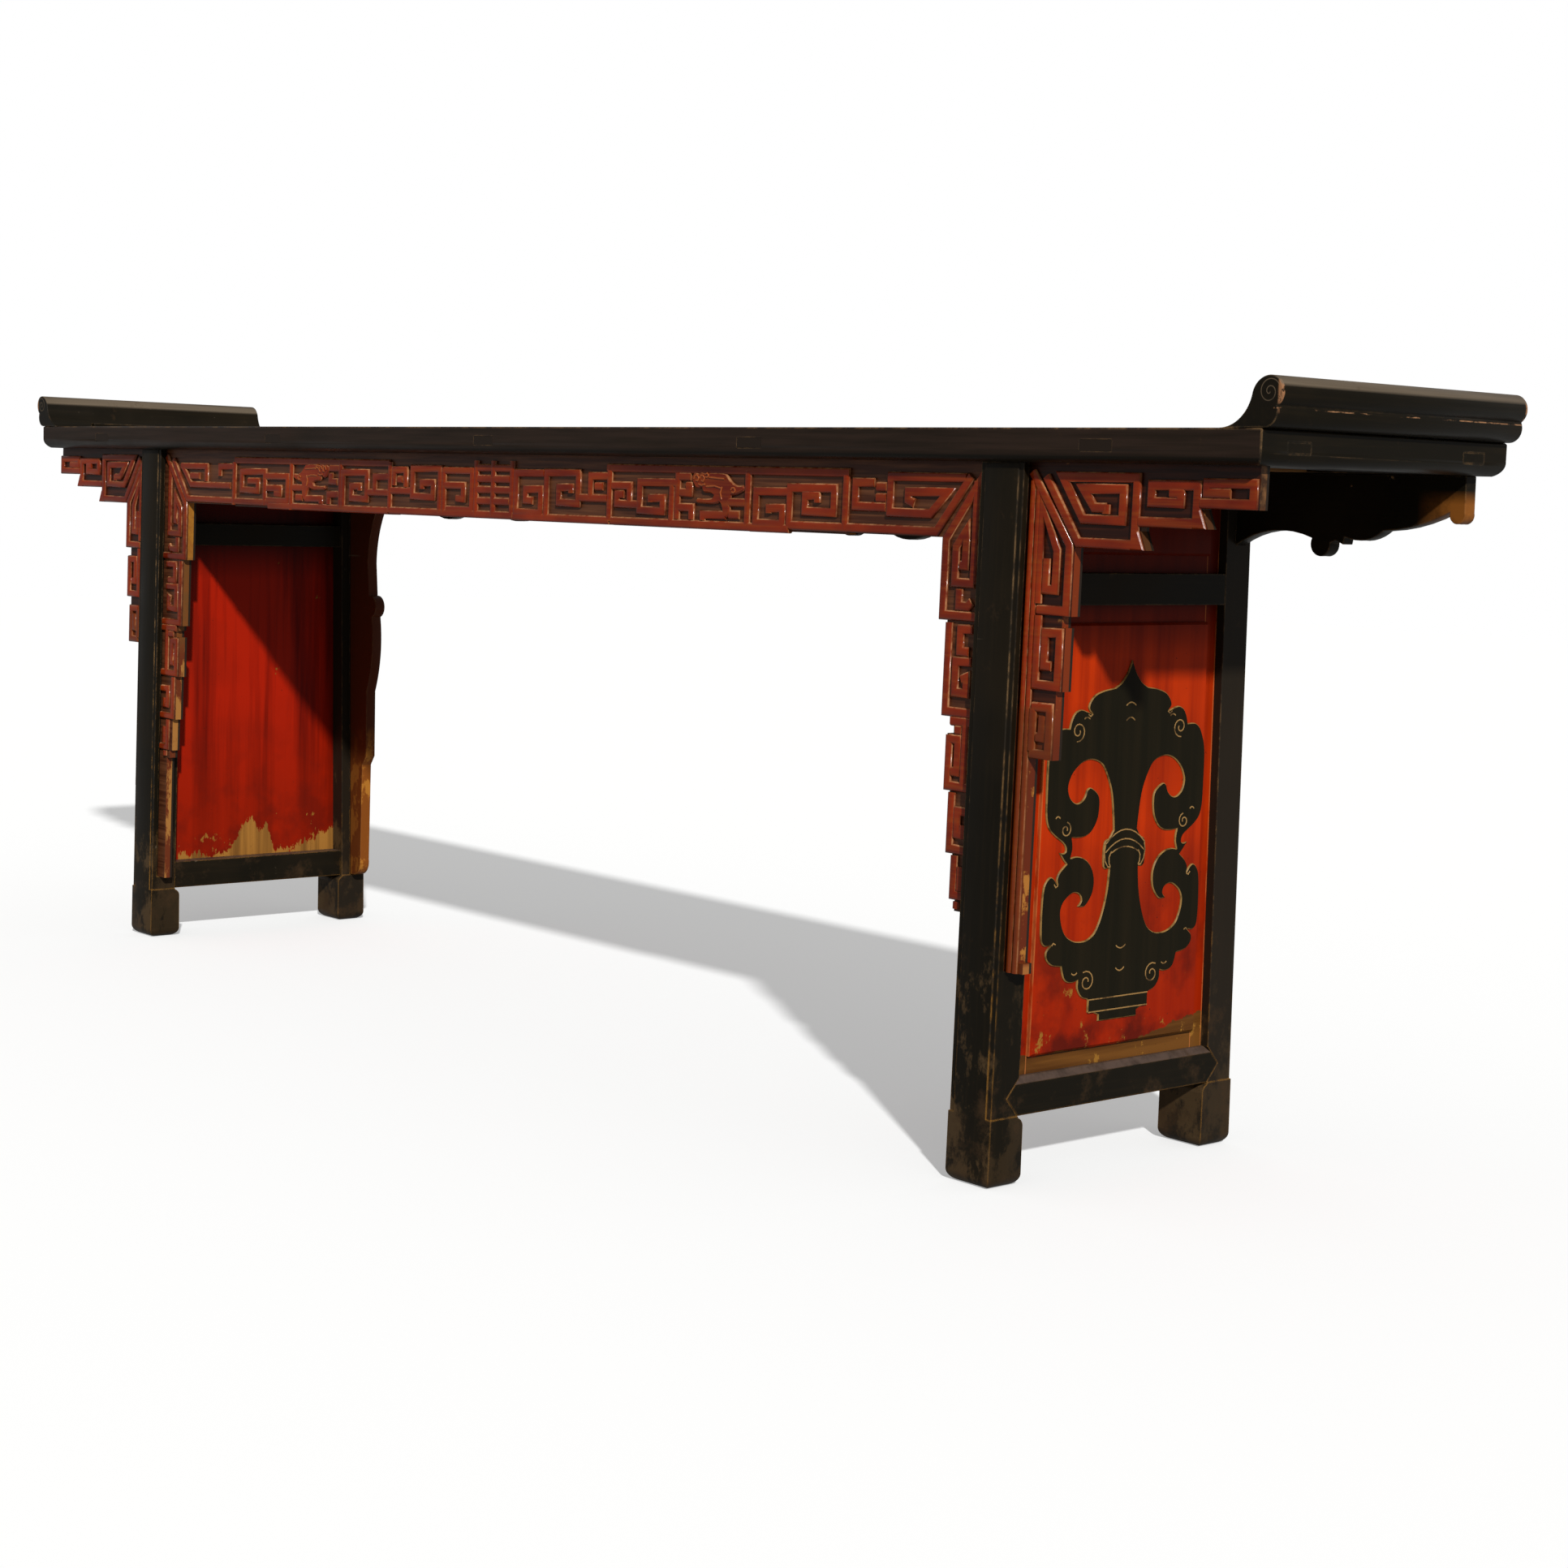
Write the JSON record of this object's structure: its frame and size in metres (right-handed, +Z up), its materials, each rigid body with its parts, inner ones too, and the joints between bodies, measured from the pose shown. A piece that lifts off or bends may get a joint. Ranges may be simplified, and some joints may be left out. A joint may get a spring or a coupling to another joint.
{
  "type": "altar table",
  "caption": "Long narrow altar table with everted scroll ends, leaning trestle legs, a carved fretwork apron with stepped spandrels, and panelled side frames.",
  "frame": {"origin": "on the floor, under the middle of the table", "axes": "+X along the table towards its right-hand end as seen from the carved front, +Y from the front to the back, +Z up"},
  "size_m": [3.037, 0.456, 0.987],
  "materials": {
    "black_lacquer": "old near-black lacquer with an olive tint, satin, worn to ochre wood along the edges",
    "red_brown_lacquer": "dark red-brown lacquer, satin, with brighter worn highlights on the carving",
    "red_lacquer": "orange-red lacquer with dark painted and carved motif, satin, thinned to bare wood at the foot",
    "bare_wood": "unlacquered softwood, dull"
  },
  "bodies": {
    "root": {"top_rail_front": "black_lacquer", "top_rail_rear": "black_lacquer", "top_end_rail_right": "black_lacquer", "top_end_rail_left": "black_lacquer", "top_panel": "black_lacquer", "batten_1": "bare_wood", "batten_2": "bare_wood", "batten_3": "bare_wood", "batten_4": "bare_wood", "batten_5": "bare_wood", "flange_right": "black_lacquer", "flange_left": "black_lacquer", "leg_front_right": "black_lacquer", "leg_front_left": "black_lacquer", "leg_rear_right": "black_lacquer", "leg_rear_left": "black_lacquer", "apron_front": "red_brown_lacquer", "apron_rear": "black_lacquer", "spandrel_front_inner_right": "red_brown_lacquer", "spandrel_front_inner_left": "red_brown_lacquer", "spandrel_front_outer_right": "red_brown_lacquer", "spandrel_front_outer_left": "red_brown_lacquer", "spandrel_rear_right": "black_lacquer", "spandrel_rear_left": "black_lacquer", "stretcher_right": "black_lacquer", "stretcher_left": "black_lacquer", "upper_rail_right": "black_lacquer", "upper_rail_left": "black_lacquer", "head_rail_right": "bare_wood", "head_rail_left": "bare_wood", "side_panel_right": "red_lacquer", "side_panel_left": "red_lacquer", "upper_panel_right": "red_lacquer", "upper_panel_left": "red_lacquer"}
  },
  "joints": []
}
